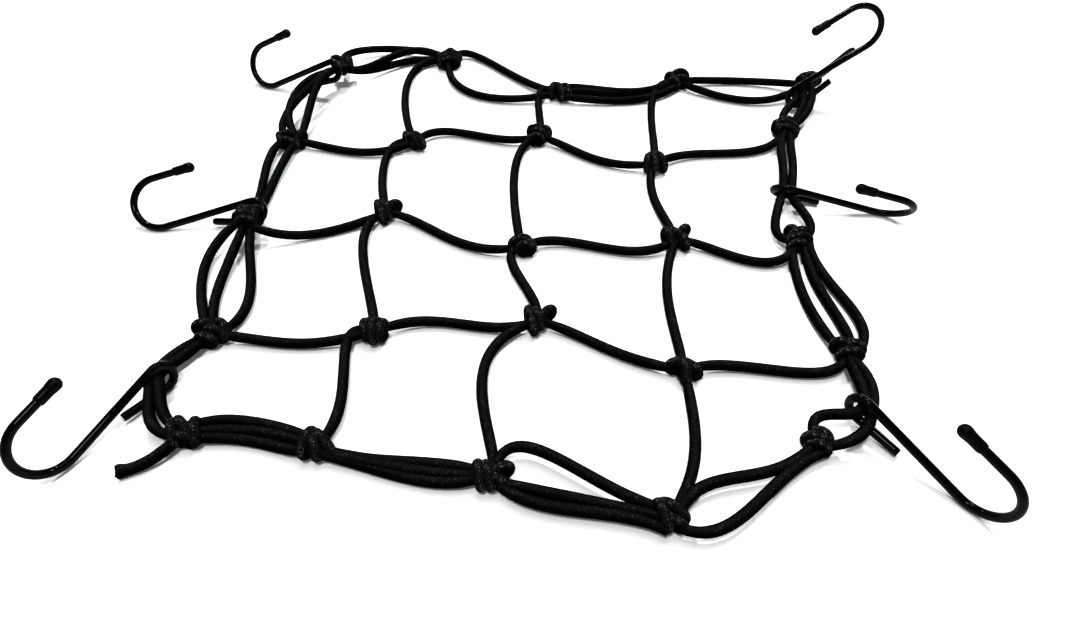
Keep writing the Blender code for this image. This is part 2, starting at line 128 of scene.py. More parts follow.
# A cord from knot to knot.  side: mm to the left of the line between the knots; leave and
# arrive: degrees to the left of that line; pull: how far the cord holds that direction, as
# a share of the line; middle: centre height halfway.
Cord = namedtuple("Cord", "start end leave arrive pull_a pull_b middle side_a side_b",
                  defaults=(4.2, 0, 0))
CORDS = (
    # inner cords, back to front
    Cord("T1", "N11", -104, 29, 0.40, 0.41, 3.7),
    Cord("N11", "N21", -110, 25, 0.38, 0.41),
    Cord("N21", "N31", -75, 1, 0.29, 0.26),
    Cord("N31", "B1", -102, -29, 0.47, 0.41),
    Cord("T2", "N12", -129, -24, 0.70, 0.16),
    Cord("N12", "N22", -64, 13, 0.20, 0.45, 3.7),
    Cord("N22", "N32", -87, -15, 0.31, 0.38),
    Cord("N32", "B2", -59, -3, 0.56, 0.19),
    Cord("T3", "N13", -89, 4, 0.29, 0.29, 3.7),
    Cord("N13", "N23", -25, 4, 0.38, 0.38),
    Cord("N23", "N33", -18, 6, 0.39, 0.40, 3.7),
    Cord("N33", "B3", 14, -24, 0.39, 0.42),
    # inner cords, left to right
    Cord("L1", "N11", -2, 37, 0.29, 0.45),
    Cord("N11", "N12", 62, 21, 0.49, 0.40),
    Cord("N12", "N13", 2, 28, 0.34, 0.48),
    Cord("N13", "R1", 21, 42, 0.43, 0.47, 3.7),
    Cord("L2", "N21", -20, 15, 0.30, 0.42, 4.0, -6, 0),
    Cord("N21", "N22", 19, 35, 0.28, 0.43),
    Cord("N22", "N23", 34, 38, 0.40, 0.42),
    Cord("N23", "R2", 7, 66, 0.28, 0.62),
    Cord("L3", "N31", -4, 17, 0.42, 0.48),
    Cord("N31", "N32", 28, 17, 0.47, 0.38),
    Cord("N32", "N33", 12, 11, 0.31, 0.46),
    Cord("N33", "R3", 20, 65, 0.37, 0.36),
    # back edge
    Cord("T0", "T1", 90, -60, 0.63, 0.36, 6.0, 6, 6),
    Cord("T0", "T1", -50, -66, 0.35, 0.77, 11.0, -3, -3),
    Cord("T0", "T1", -5, -54, 0.28, 0.60, 5.0, -6, -6),
    Cord("T1", "T2", 105, 13, 0.42, 0.35, 4.2, 5, 2),
    Cord("T1", "T2", -57, 45, 0.54, 0.41, 4.2, -2, -2),
    Cord("T2", "T3", 22, 43, 0.26, 0.54, 5.4, 7, 6),
    Cord("T2", "T3", 14, 28, 0.37, 0.54, 4.0, 0, 1),
    Cord("T2", "T3", -15, 39, 0.37, 0.38, 4.0, -6, -4),
    Cord("T3", "T4", 12, -25, 0.40, 0.37, 4.2, 1, -5),
    Cord("T3", "T4", -30, 51, 0.36, 0.50, 4.2, -2, 0),
    # right edge
    Cord("R2", "R3", -16, 15, 0.33, 0.34, 4.2, -4, -4),
    Cord("R2", "R3", -12, -12, 0.45, 0.32, 4.2, 3, 3),
    Cord("R2", "R3", -15, -39, 0.39, 0.39, 4.2, 7, 7),
    # front edge
    Cord("B4", "B3", 21, 42, 0.50, 0.45, 7.0, -1, 4),
    Cord("B4", "B3", -10, -58, 0.37, 0.35, 7.0, 6, 5),
    Cord("B3", "B2", 12, 85, 0.36, 0.38, 8.0, -4, -6),
    Cord("B3", "B2", -1, 1, 0.36, 0.39, 6.0, 1, 3),
    Cord("B3", "B2", -15, -30, 0.36, 0.38, 6.0, 7, 2),
    Cord("B2", "B1", -12, -10, 0.39, 0.36, 4.2, 0, 1),
    Cord("B2", "B1", 30, 5, 0.37, 0.37, 4.2, 0, 5),
    Cord("B2", "B1", 8, -3, 0.38, 0.36, 5.6, 1, 3),
    Cord("B1", "B0", -17, 34, 0.40, 0.34, 4.2, -3, -4),
    Cord("B1", "B0", -16, 13, 0.38, 0.44, 6.0, 1, 0),
    Cord("B1", "B0", -5, 24, 0.30, 0.43, 4.2, 5, 5),
    # left edge
    Cord("L3", "L2", 27, -60, 0.46, 0.38, 4.2, 1, 2),
    Cord("L3", "L2", 22, -11, 0.43, 0.41, 4.2, -2, 0),
    Cord("L3", "L2", -45, -12, 0.37, 0.28, 4.2, -4, -4),
)

# x, y, z: top of the eye, at the wire's centre.  heading: from the eye to the hook's bend;
# dip: how far the shank points down; lean: turn about the shank, top towards the heading's
# right.  shank and tip: straight lengths of the wire.  closing: degrees that the eye's leg
# leans back towards the shank.
Hook = namedtuple("Hook", "name x y z heading dip lean shank tip closing")
HOOKS = (
    Hook("1", -155, 197, 27.4, 173, 25, 33, 54, 26, 9),
    Hook("2", -177, 36, 14.3, 193, 11.2, 49, 57, 26, 18),
    Hook("3", -188.5, -108.5, 16.3, 239.5, 13, 14, 53, 23, 18),
    Hook("4", 173, -133, 20.2, -50, 17.2, 1, 56, 25, 9),
    Hook("5", 176, 47, 16.2, -7, 12.7, 38, 59, 27, 9),
    Hook("6", 209.3, 174.2, 16.4, 5, -35, -7, 58, 27, 9),
)

# A cord that goes through a hook's eye on its way.  place: mm along the shank from the
# eye's centre.  swing and rise: degrees that the cord turns in the eye, towards the hook's
# bend and towards the shank.  hold: how far it holds that direction before and after the
# eye, as a share of the line between knot and eye.  The rest is as for a cord.
EyeCord = namedtuple("EyeCord", "start hook place end side_a leave pull_a hold_a swing rise "
                                "hold_b side_b arrive pull_b")
EYE_CORDS = (
    EyeCord("L1", "1", 11.3, "T0", -6, 45, 0.54, 0.36, -5, 12, 0.30, -1, 3, 0.43),
    EyeCord("L1", "1", 5.0, "T0", 6, 37, 0.45, 0.30, 10, 25, 0.30, -3, 20, 0.43),
    EyeCord("L1", "1", -0.9, "T0", -6, 11, 0.55, 0.45, -5, 19, 0.25, -4, 17, 0.50),
    EyeCord("L1", "2", 5.0, "L2", -6, -26, 0.30, 0.24, 25, -5, 0.30, 4, -20, 0.45),
    EyeCord("L1", "2", -0.8, "L2", 4, -9, 0.47, 0.29, 5, -15, 0.30, 0, -12, 0.41),
    EyeCord("L3", "3", 7.0, "B0", 0, -25, 0.50, 0.30, 30, 8, 0.35, -3, 48, 0.50),
    EyeCord("L3", "3", 1.4, "B0", -1, 15, 0.45, 0.35, 22, 8, 0.40, 1, 35, 0.50),
    EyeCord("R3", "4", 5.6, "B4", -4, 40, 0.55, 0.20, 25, 10, 0.50, 3, -20, 0.30),
    EyeCord("R3", "4", -0.2, "B4", -1, 0, 0.39, 0.30, 3, 10, 0.45, -1, 65, 0.85),
    EyeCord("R1", "5", 5.0, "R2", 3, -3, 0.45, 0.36, -3, 18, 0.20, 2, -52, 0.52),
    EyeCord("R1", "5", -1.0, "R2", 2, -21, 0.35, 0.29, -2, 12, 0.26, -4, 93, 0.42),
    EyeCord("R1", "6", 11.3, "T4", -2, -29, 0.42, 0.33, -4, -9, 0.30, -3, 23, 0.40),
    EyeCord("R1", "6", 5.0, "T4", -1, -17, 0.37, 0.28, 5, 5, 0.30, 0, 1, 0.41),
    EyeCord("R1", "6", -0.8, "T4", 2, 25, 0.52, 0.30, 0, -12, 0.30, 1, -37, 0.35),
)

# A cord's free end.  turn: how much its heading changes along its length.  end_width: width
# of its end over the cord's, cut and opened or melted to a point.
Tail = namedtuple("Tail", "knot heading turn length end_height end_width")
TAILS = (
    Tail("B0", 248, -58, 34, 3.6, 1.25),
    Tail("T4", 35, 11, 61, 17.0, 0.72),
)

# A turn of cord in a knot.  along, aside and rise: its centre from the knot's, along X, along
# Y and up.  yaw: heading of its axis.  wide and high: its half width and half height, at the
# cord's centre.  sweep: how far it goes round.  drift: how far it moves along its axis on the
# way.  start: where it starts, from the axis's left towards up.  pitch: its axis's rise.
Turn = namedtuple("Turn", "along aside rise yaw wide high sweep drift start pitch",
                  defaults=(390, 1.0, -90, 0))
KNOT_TURNS = {
    "T4": (
        Turn(-4.4, -3.4, 0, 22, 5.6, 4.0, 390, 1.5),
        Turn(0.2, 0.2, 0.4, 46, 6.0, 4.2, 390, 1.5),
        Turn(4.4, 3.6, 0, 60, 5.4, 4.0, 380, 1.5, start=-80),
    ),
    "B0": (
        Turn(6.4, 1.2, 0, 14, 5.0, 4.0, 390, 2.0),
        Turn(0.4, 1.8, 0.3, 40, 6.0, 4.3, 390, 2.5),
        Turn(-4.2, -0.6, 0.2, 16, 5.6, 4.1, 380, 1.5),
        Turn(1.4, -4.2, -0.4, 78, 5.6, 3.7, 370),
    ),
    "B1": (
        Turn(-3.8, 0.6, 0.2, -14, 6.4, 4.3, 390, 1.5),
        Turn(3.6, 1.2, 0, 42, 6.2, 4.2, 390, 2.0),
        Turn(0.4, -1.2, -0.3, 12, 5.6, 4.0, 380, 1.5, start=-80),
    ),
    "B2": (
        Turn(-5.8, -0.6, 0.2, 8, 5.6, 4.4),
        Turn(-1.6, -0.6, 0.1, 12, 5.6, 4.2),
        Turn(4.9, 1.6, 0, 112, 3.9, 4.0, 390, 1.5),
        Turn(1.6, -2.8, -0.8, 64, 4.6, 3.2, 360, 1.0, start=-80),
    ),
    "B3": (
        Turn(-3.6, 0.6, 0, 14, 6.1, 4.2, 390, 1.5),
        Turn(1.4, 2.6, 0.4, 50, 6.0, 4.3, 390, 1.5),
        Turn(0.8, -2.8, -0.5, 64, 4.8, 3.5, 370),
    ),
    "B4": (
        Turn(-1.4, 0.8, 0.2, 70, 4.3, 4.1, 390, 1.2),
        Turn(-0.6, -3.2, -0.4, 62, 4.0, 3.6, 380, 1.2),
        Turn(2.6, 3.4, 0, 46, 3.6, 3.8, 380, 1.5),
    ),
    "R3": (
        Turn(-2.6, 2.2, 0, 60, 4.3, 4.2, 390, 1.5),
        Turn(3.2, 1.0, 0.2, 64, 4.2, 4.1, 390, 1.5),
        Turn(0.2, -3.6, -0.4, 86, 5.3, 3.8, 380),
    ),
    "R2": (
        Turn(-2.6, 7.6, 0, 60, 2.4, 3.4, 380),
        Turn(2.0, 4.2, 0.2, 94, 5.4, 4.3, 390, 1.2),
        Turn(0.4, -1.0, 0, 89, 6.0, 4.3, 390, 1.2),
        Turn(-2.0, -5.6, -0.6, 98, 4.6, 3.4, 370),
    ),
    "L3": (
        Turn(-3.4, 4.0, 0.2, 92, 5.2, 4.3, 390, 1.2),
        Turn(5.8, 5.2, 0, 50, 3.0, 3.5, 380, 1.5),
        Turn(3.6, -0.4, 0, 68, 5.4, 4.2, 390, 1.5),
        Turn(-0.8, -5.0, -0.4, 82, 4.2, 3.6, 380),
    ),
    "T0": (
        Turn(4.6, 1.0, 0, 4, 4.8, 4.2, 390, 1.5),
        Turn(-0.8, 0, 0.2, 18, 6.0, 4.4, 390, 1.5),
        Turn(-5.6, 3.0, 0.8, 78, 3.8, 4.2, 380),
        Turn(-2.0, -4.8, -0.4, 70, 3.8, 3.6, 380),
    ),
    "T1": (
        Turn(1.4, 5.6, 1.2, 48, 3.8, 4.4, 380),
        Turn(-8.2, 0.4, 0, 4, 5.4, 4.1, 380),
        Turn(1.0, 4.0, 0.4, 88, 7.2, 4.5),
        Turn(0.6, -0.2, 0, 92, 6.8, 4.3),
        Turn(1.0, -4.6, -0.4, 94, 6.4, 3.8, 380),
    ),
    "T2": (
        Turn(-3.6, 2.0, 0.4, -22, 5.0, 4.3),
        Turn(1.2, 0, 0.4, 18, 7.0, 4.6),
        Turn(6.2, 3.4, 0, 62, 3.0, 3.7, 380),
        Turn(5.6, -2.4, -0.4, 80, 3.2, 3.3, 380),
    ),
    "T3": (
        Turn(1.2, 3.2, 0.8, 88, 5.6, 5.4, 390, 1.5),
        Turn(-6.4, 0.6, 0, 32, 3.8, 4.5, 380),
        Turn(2.2, -2.4, 0, 76, 4.8, 4.1, 390, 1.5),
        Turn(-4.4, -5.4, -0.4, 58, 3.2, 3.6, 380),
    ),
    "L1": (
        Turn(6.8, 0.8, 0.2, -12, 5.6, 4.6),
        Turn(-8.0, -0.6, -0.2, 18, 4.4, 3.8, 380),
        Turn(-2.6, 1.4, 0.6, 86, 5.0, 4.6, 390, 1.5),
        Turn(-1.2, -5.0, -0.4, 72, 4.2, 3.7, 380),
    ),
    "N11": (
        Turn(2.4, 0.6, 0.2, 34, 6.2, 4.4, 390, 1.5),
        Turn(-2.2, -0.4, 0, 50, 6.2, 4.2, 390, 1.5),
        Turn(-6.2, 3.0, 0, 20, 3.0, 3.7, 380),
    ),
    "N13": (
        Turn(5.0, 0.4, 0, 14, 5.4, 4.3),
        Turn(-4.8, 0.6, 0, -10, 5.0, 4.1),
        Turn(0.4, 3.6, 0.8, 88, 5.2, 4.6),
        Turn(-0.4, -2.4, 0.8, 2, 6.4, 4.6, 190, 0.5, start=4),
    ),
    "R1": (
        Turn(1.2, 4.6, 0.3, 62, 5.4, 4.3, 390, 1.5),
        Turn(-7.2, 0.2, -0.2, 0, 4.0, 3.8, 380),
        Turn(0.6, -0.8, 0.4, 50, 7.0, 4.7, 390, 1.5),
        Turn(-0.6, -5.2, -0.2, 56, 6.0, 4.0, 380, 1.5),
    ),
    "L2": (
        Turn(-0.2, 3.8, 0.2, 84, 5.0, 4.2, 390, 1.5),
        Turn(6.4, 2.6, 0, -6, 4.0, 4.4),
        Turn(-0.6, -0.8, 0.2, 88, 5.4, 4.5, 390, 1.5),
        Turn(0.8, -4.8, -0.4, 92, 4.0, 3.7, 380),
    ),
    "N21": (
        Turn(-5.4, 2.0, 0.2, 10, 5.0, 4.3),
        Turn(-0.6, 1.6, 0, 26, 5.2, 4.2),
        Turn(3.8, 2.8, 0.9, -52, 4.8, 3.7),
        Turn(-2.2, -3.0, -0.6, 10, 3.7, 3.6, 380),
    ),
    "N23": (
        Turn(-5.4, 0.6, 0.2, 12, 5.2, 4.3),
        Turn(0.2, 0.8, 0.2, 34, 5.6, 4.2),
        Turn(5.0, 5.0, 0.9, -50, 3.5, 3.6, 380),
        Turn(4.2, -2.6, -0.5, 22, 3.7, 3.6, 380),
    ),
    "N32": (
        Turn(-5.0, 2.4, 0.2, 8, 4.8, 4.3),
        Turn(-0.6, 1.4, 0, 20, 5.0, 4.2),
        Turn(4.8, 3.4, 0.9, -48, 4.6, 3.7),
        Turn(-3.4, -3.2, -0.5, 12, 3.8, 3.6, 380),
    ),
    "N22": (
        Turn(-0.4, 2.6, 0.2, 102, 5.5, 4.3, 390, 1.5),
        Turn(3.0, -2.6, -0.2, 84, 3.8, 3.9, 380, 1.5),
        Turn(3.6, 1.2, 0, 56, 4.4, 4.0, 380, 1.5),
    ),
    "N12": (
        Turn(-3.4, 3.2, 1.0, -90, 3.1, 3.7, 380, 1.0, start=90, pitch=38),
        Turn(5.6, 5.4, -0.4, 42, 2.6, 3.0, 370),
        Turn(0.2, 0.2, 0, 62, 4.4, 4.1, 390, 1.5),
        Turn(-1.6, -5.4, -0.4, 88, 3.6, 3.5, 380),
    ),
    "N33": (
        Turn(-5.0, 2.0, 0, 78, 3.0, 3.7, 380),
        Turn(-0.4, 1.8, 0.2, 66, 5.4, 4.3),
        Turn(3.2, -0.4, 0, 50, 4.4, 4.1),
        Turn(-0.6, -1.6, 0.4, 4, 5.6, 4.2, 380),
    ),
    "N31": (
        Turn(-5.0, 0.8, 0, 6, 4.6, 4.0, 380),
        Turn(-0.4, -0.8, 0, 2, 5.4, 4.2, 380),
        Turn(4.6, 0.2, 0, -8, 5.0, 4.0, 380),
        Turn(0.2, 3.2, 0.6, 88, 5.4, 4.2),
    ),
}

# Place (m), side (m) and power (W) of each square lamp, which points at the net's middle.
Lamp = namedtuple("Lamp", "name x y z size power")
LAMPS = (
    Lamp("key_panel", -0.30, 0.75, 1.10, 0.10, 17.0),
    Lamp("side_panel", 0.60, 0.40, 1.15, 0.10, 11.0),
    Lamp("front_panel", -0.15, -0.60, 1.35, 0.20, 12.0),
    Lamp("top_panel", 0.05, 0.10, 1.60, 0.90, 12.0),
)
LAMPS_AIM = (0.02, 0.0, 0.0)
FLOOR_HALF = 4.0             # m
CAMERA_PLACE = (0.0119, -0.3532, 0.3137)
CAMERA_PITCH = 44.0          # degrees up from straight down
CAMERA_LENS, SENSOR_WIDTH = 24.82, 36.0

# How light and shade are painted into a sheath's colour.  bright_side: share of the way
# round at which it is painted palest.  shade_from: cosine, from that side, at which it is
# painted darkest.  gleam and rarity: how bright and how seldom a painted thread glint is.
# fineness: how much smaller its glints are.
Sheath = namedtuple("Sheath", "name bright_side shade_from gleam rarity fineness")
LOOSE_SHEATH = Sheath("braided_polyester_cord", 0.75, 0.1, 0.07, 0.79, 1.0)
TIGHT_SHEATH = Sheath("drawn_tight_polyester_cord", 0.0, -0.8, 0.38, 0.82, 1.6)


# ------------ settings
def linear(code):
    """An sRGB hex colour as linear red, green, blue and 1: each channel has its curve undone."""
    values = [int(code[place:place + 2], 16) / 255 for place in (1, 3, 5)]
    straight = [v / 12.92 if v <= 0.04045 else ((v + 0.055) / 1.055) ** 2.4 for v in values]
    return (*straight, 1.0)


def width_setting(name, description, default, low, high):
    return FloatProperty(name=name, description=description, default=default, min=low, max=high,
                         unit="LENGTH")


def colour_setting(name, description, code):
    return FloatVectorProperty(name=name, description=description, default=linear(code),
                               size=4, min=0.0, max=1.0, subtype="COLOR")


class CargoNetSettings(PropertyGroup):
    """Sizes and colours of the cargo net."""

    cord_diameter: width_setting(
        "Cord diameter", "Width of the braided elastic cord", 0.006, 0.003, 0.009)
    wire_diameter: width_setting(
        "Wire diameter", "Width of the hooks' coated wire", 0.0047, 0.002, 0.005)
    cap_diameter: width_setting(
        "Cap diameter", "Width of the dipped caps on the hooks' tips", 0.0069, 0.005, 0.009)
    cord_colour: colour_setting("Cord colour", "Colour of the cord's woven sheath", "#010202")
    # painted light: the paler colour laid on the sheath's lit side and plait crest, away from the
    # ground
    painted_light_colour: colour_setting(
        "Rubbed colour", "Colour of the sheath where it is rubbed paler", "#0c0d0d")
    # painted highlight: the colour of the thread glints painted into the sheath's colour
    painted_glint_colour: colour_setting(
        "Thread glint", "Colour of the sheath's threads where they shine", "#8f9593")
    wire_colour: colour_setting("Wire colour", "Colour of the coating on the hooks", "#020202")
    cap_colour: colour_setting("Cap colour", "Colour of the dipped caps", "#030303")
    floor_colour: colour_setting("Floor colour", "Colour of the studio's floor", "#f6f7f7")


# ------------ small helpers
def flat_direction(degrees):
    angle = math.radians(degrees)
    return np.array([math.cos(angle), math.sin(angle), 0.0])


def heading_of(vector):
    return math.degrees(math.atan2(vector[1], vector[0]))


def unit(vectors):
    return vectors / np.linalg.norm(vectors, axis=-1, keepdims=True)


def smooth_step(share):
    """From 0 to 1 with no slope at either end."""
    return share * share * (3 - 2 * share)


def bezier(p0, p1, p2, p3, count):
    """Cubic through p0 and p3, pulled towards p1 and p2, as count points."""
    t = np.linspace(0.0, 1.0, count)[:, None]
    return (1 - t) ** 3 * p0 + 3 * (1 - t) ** 2 * t * p1 + 3 * (1 - t) * t ** 2 * p2 + t ** 3 * p3


def distances(points):
    """How far along the route each point is."""
    lengths = np.linalg.norm(np.diff(points, axis=0), axis=1)
    return np.concatenate([[0.0], np.cumsum(lengths)])


def even_points(points, step):
    """The same route in equal steps of about the given length, and three at least."""
    travelled = distances(points)
    count = max(3, int(round(travelled[-1] / step)))
    places = np.linspace(0.0, travelled[-1], count + 1)
    return np.stack([np.interp(places, travelled, points[:, axis]) for axis in range(3)], axis=1)


# ------------ routes
KNOT_BY_NAME = {knot.name: knot for knot in KNOTS}
HOOK_BY_NAME = {hook.name: hook for hook in HOOKS}


def knot_entry(name):
    """Where the cords of a knot meet."""
    knot = KNOT_BY_NAME[name]
    return np.array([knot.x, knot.y, CORD_ENTRY_HEIGHT + knot.lift])


def cord_end(entry, line, side, turn, pull):
    """A cord's end, beside a knot's entry, and the handle that it is pulled towards.

    The end lies side to the left of the line, and the handle lies pull times the line's flat
    length from it, in a direction turned to the line's left.
    """
    heading = heading_of(line)
    end = entry + flat_direction(heading + 90) * side
    return end, end + flat_direction(heading + turn) * np.linalg.norm(line[:2]) * pull


def cord_route(cord):
    """One cubic from knot to knot, with the height of its handles set by its middle height."""
    start = knot_entry(cord.start)
    end = knot_entry(cord.end)
    p0, p1 = cord_end(start, end - start, cord.side_a, cord.leave, cord.pull_a)
    p3, p2 = cord_end(end, end - start, cord.side_b, cord.arrive, -cord.pull_b)
    p1[2] = p2[2] = (8 * cord.middle - p0[2] - p3[2]) / 6
    return bezier(p0, p1, p2, p3, 80)


def hook_axes(hook):
    """Directions along the shank and across it, towards the hook's tip."""
    forward = flat_direction(hook.heading)
    right = flat_direction(hook.heading - 90)
    dip = math.radians(hook.dip)
    lean = math.radians(hook.lean)
    along = forward * math.cos(dip) - UP * math.sin(dip)
    above = forward * math.sin(dip) + UP * math.cos(dip)
    return along, above * math.cos(lean) + right * math.sin(lean)


def eye_point(hook, place):
    """A place in the middle of the eye, between its two legs."""
    along, across = hook_axes(hook)
    closing = math.tan(math.radians(hook.closing)) * max(place, 0) / 2
    return np.array([hook.x, hook.y, hook.z]) - across * (EYE_RADIUS - closing) + along * place


def eye_cord_route(cord):
    """Two cubics that meet in the eye with one direction, as one route."""
    hook = HOOK_BY_NAME[cord.hook]
    middle = eye_point(hook, cord.place)
    start = knot_entry(cord.start)
    end = knot_entry(cord.end)
    along, across = hook_axes(hook)
    normal = np.cross(along, across)
    if np.dot(normal, end - start) < 0:
        normal = -normal
    swing = math.tan(math.radians(cord.swing))
    rise = math.tan(math.radians(cord.rise))
    through = unit(normal + along * swing + across * rise)

    before, after = middle - start, end - middle
    p0, p1 = cord_end(start, before, cord.side_a, cord.leave, cord.pull_a)
    p1[2] = (2 * start[2] + middle[2]) / 3
    p2 = middle - through * np.linalg.norm(before[:2]) * cord.hold_a
    p3 = middle + through * np.linalg.norm(after[:2]) * cord.hold_b
    p5, p4 = cord_end(end, after, cord.side_b, cord.arrive, -cord.pull_b)
    p4[2] = (2 * end[2] + middle[2]) / 3
    return np.concatenate([bezier(p0, p1, p2, middle, 60), bezier(middle, p3, p4, p5, 60)[1:]])


def tail_route(tail):
    """A run whose heading turns evenly and whose height falls or rises to its end."""
    steps = 24
    start = knot_entry(tail.knot)
    share = np.linspace(0.0, 1.0, steps + 1)
    headings = np.radians(tail.heading + tail.turn * (share[:-1] + share[1:]) / 2)
    moves = np.stack([np.cos(headings), np.sin(headings)], axis=1) * tail.length / steps
    flat = start[:2] + np.concatenate([[[0.0, 0.0]], np.cumsum(moves, axis=0)])
    height = start[2] + (tail.end_height - start[2]) * smooth_step(share)
    return np.column_stack([flat, height])


def hook_route(hook):
    """The wire's centre line: leg, eye, shank, bend and tip, in that order.

    In the plane of the shank and the direction across it, the eye is an arc of EYE_RADIUS
    that goes on past a half turn by the closing angle, and the bend is a half turn of
    BEND_RADIUS on the other side of the shank.
    """
    sweep = math.radians(180 + hook.closing)
    eye = np.linspace(sweep, 0.0, 60)
    eye_arc = EYE_RADIUS * np.stack([-np.sin(eye), np.cos(eye) - 1], axis=1)
    leg = eye_arc[0] - EYE_LEG * np.array([math.cos(sweep), math.sin(sweep)])
    bend = np.linspace(0.0, math.pi, 120)
    bend_arc = BEND_RADIUS * np.stack([np.sin(bend), 1 - np.cos(bend)], axis=1)
    bend_arc[:, 0] += hook.shank
    tip = bend_arc[-1] - np.array([hook.tip, 0.0])
    outline = np.concatenate([[leg], eye_arc, bend_arc, [tip]])
    along, across = hook_axes(hook)
    top = np.array([hook.x, hook.y, hook.z])
    return top + outline[:, :1] * along + outline[:, 1:] * across


# ------------ skins
# A skin is a grid of four-sided faces with a fan of triangles at each end.  finish and
# end_finish say which of the piece's materials its grid and its fans have.
Skin = namedtuple("Skin", "points quads fans quad_uv fan_uv finish end_finish")


def circle(side, rise, sides):
    """Unit circles that start at side and turn towards rise, as points along a new axis."""
    turn = np.linspace(0.0, 2 * math.pi, sides, endpoint=False)[:, None]
    return side[..., None, :] * np.cos(turn) + rise[..., None, :] * np.sin(turn)


def closed_skin(rings, poles, along, radii, finish, end_finish):
    """Rings of points, each joined to the next, and the first and the last to a pole.

    Its UV is the share of the way round, and the way along in millimetres, which counts on
    by a ring's radius to its pole.
    """
    rows, sides = rings.shape[:2]
    row = np.arange(rows - 1)[:, None]
    column = np.arange(sides)[None, :]
    after = (column + 1) % sides
    quads = np.stack([row * sides + column, row * sides + after,
                      (row + 1) * sides + after, (row + 1) * sides + column], axis=-1)
    near, far = along[:-1, None] + 0 * column, along[1:, None] + 0 * column
    left, right = column / sides + 0 * row, (column + 1) / sides + 0 * row
    quad_uv = np.stack([left, near, right, near, right, far, left, far], axis=-1)

    column, after = column[0], after[0]
    last = (rows - 1) * sides
    pole = rows * sides + 0 * column
    fans = np.concatenate([np.stack([after, column, pole], axis=1),
                           np.stack([last + column, last + after, pole + 1], axis=1)])
    around = column / sides
    fan_uv = []
    for place, onwards in ((0, -1), (-1, 1)):
        rim = along[place] + 0 * around
        centre = rim + onwards * radii[place]
        fan_uv.append(np.stack([around, rim, around, rim, around, centre], axis=1))
    return Skin(np.concatenate([rings.reshape(-1, 3), poles]), quads.reshape(-1, 4), fans,
                quad_uv.reshape(-1, 4, 2), np.concatenate(fan_uv).reshape(-1, 3, 2),
                finish, end_finish)


def carried_ring(route, radii, sides, reference, finish=0, end_finish=0):
    """A ring of points carried along a route, closed at both ends.

    Point j of ring i is route[i] + radii[i] * (side * cos(a) + rise * sin(a)), where a is
    j / sides of a full turn, side is the route's direction crossed with the reference, and
    rise is the direction crossed with side.
    """
    ahead = unit(np.gradient(route, axis=0))
    side = unit(np.cross(ahead, reference))
    ring = circle(side, np.cross(ahead, side), sides)
    rings = route[:, None, :] + ring * radii[:, None, None]
    return closed_skin(rings, route[[0, -1]], distances(route), radii, finish, end_finish)


def turned_profile(profile, origin, axis, side):
    """A closed profile of (radius, height) turned about an axis: a tube that doubles back.

    Point j of ring i is origin + axis * height[i] + radius[i] * (side * cos(a) + third * sin(a)).
    """
    profile = np.array(profile)
    radii, heights = profile.T
    ring = circle(side, np.cross(axis, side), WIRE_SIDES)
    rings = origin + axis * heights[:, None, None] + ring * radii[:, None, None]
    poles = origin + axis * heights[[0, -1], None]
    return closed_skin(rings, poles, distances(profile), radii, 0, 0)


def swelling(along, seed, share):
    """Slow uneven swelling along a cord: two waves whose places come from the seed."""
    return 1 + share * (np.sin(along / LONG_SWELL + seed * 2.1)
                        + 0.6 * np.sin(along / SHORT_SWELL + seed * 3.7))


def cord_skin(route, radius, seed):
    """A cord's tube, gripped narrower where it goes into a knot."""
    route = even_points(route, CORD_STEP)
    along = distances(route)
    radii = radius * swelling(along, seed, CORD_UNEVENNESS)
    for from_knot in (along, along[-1] - along):
        radii *= 1 - GRIP * np.exp(-(np.maximum(from_knot - GRIP_START, 0) / GRIP_FADE) ** 2)
    return carried_ring(route, radii, CORD_SIDES, UP)


def tail_skin(tail, radius, seed):
    """A free cord end, whose width changes to its end's by a bell curve."""
    route = even_points(tail_route(tail), TAIL_STEP)
    along = distances(route)
    radii = radius * swelling(along, seed, KNOT_UNEVENNESS)
    radii *= 1 + (tail.end_width - 1) * np.exp(-((along[-1] - along) / TAIL_FLARE) ** 2)
    return carried_ring(route, radii, CORD_SIDES, UP)


def turn_skin(knot, turn, radius, seed):
    """A turn of cord: an ellipse about its axis that drifts along it.

    Its half width and half height shrink to half towards both ends by a smooth ramp, so that
    the ends go down into the knot, and no point goes below the surface that the knot lies on.
    """
    share = np.linspace(0.0, 1.0, int(turn.sweep / TURN_STEP) + 1)
    angle = np.radians(turn.start + turn.sweep * share)
    ends = np.clip(np.minimum(share, 1 - share) * turn.sweep / TURN_RAMP, 0.0, 1.0)
    reach = 0.5 + 0.5 * smooth_step(ends)
    level = flat_direction(turn.yaw)
    left = flat_direction(turn.yaw + 90)
    pitch = math.radians(turn.pitch)
    axis = level * math.cos(pitch) + UP * math.sin(pitch)
    rise = UP * math.cos(pitch) - level * math.sin(pitch)
    centre = np.array([knot.x + turn.along, knot.y + turn.aside,
                       knot.lift + KNOT_MIDDLE + turn.rise])
    route = (centre + axis * ((share - 0.5) * turn.drift)[:, None]
             + left * (turn.wide * reach * np.cos(angle))[:, None]
             + rise * (turn.high * reach * np.sin(angle))[:, None])
    radii = radius * swelling(distances(route), seed, KNOT_UNEVENNESS)
    skin = carried_ring(route, radii, TURN_SIDES, axis)
    skin.points[:, 2] = np.maximum(skin.points[:, 2], knot.lift + GROUND_GAP)
    return skin


def knot_core(knot, radius):
    """The cord packed inside a knot: a short run along its axis with rounded ends."""
    share = np.linspace(-1.0, 1.0, 13)
    centre = np.array([knot.x, knot.y, knot.lift + KNOT_MIDDLE])
    route = centre + flat_direction(knot.turn) * (share * CORE_HALF_LENGTH)[:, None]
    radii = radius * CORE_WIDTH * np.sqrt(np.maximum(1 - share ** 4, 0.05))
    return carried_ring(route, radii, TURN_SIDES, UP)


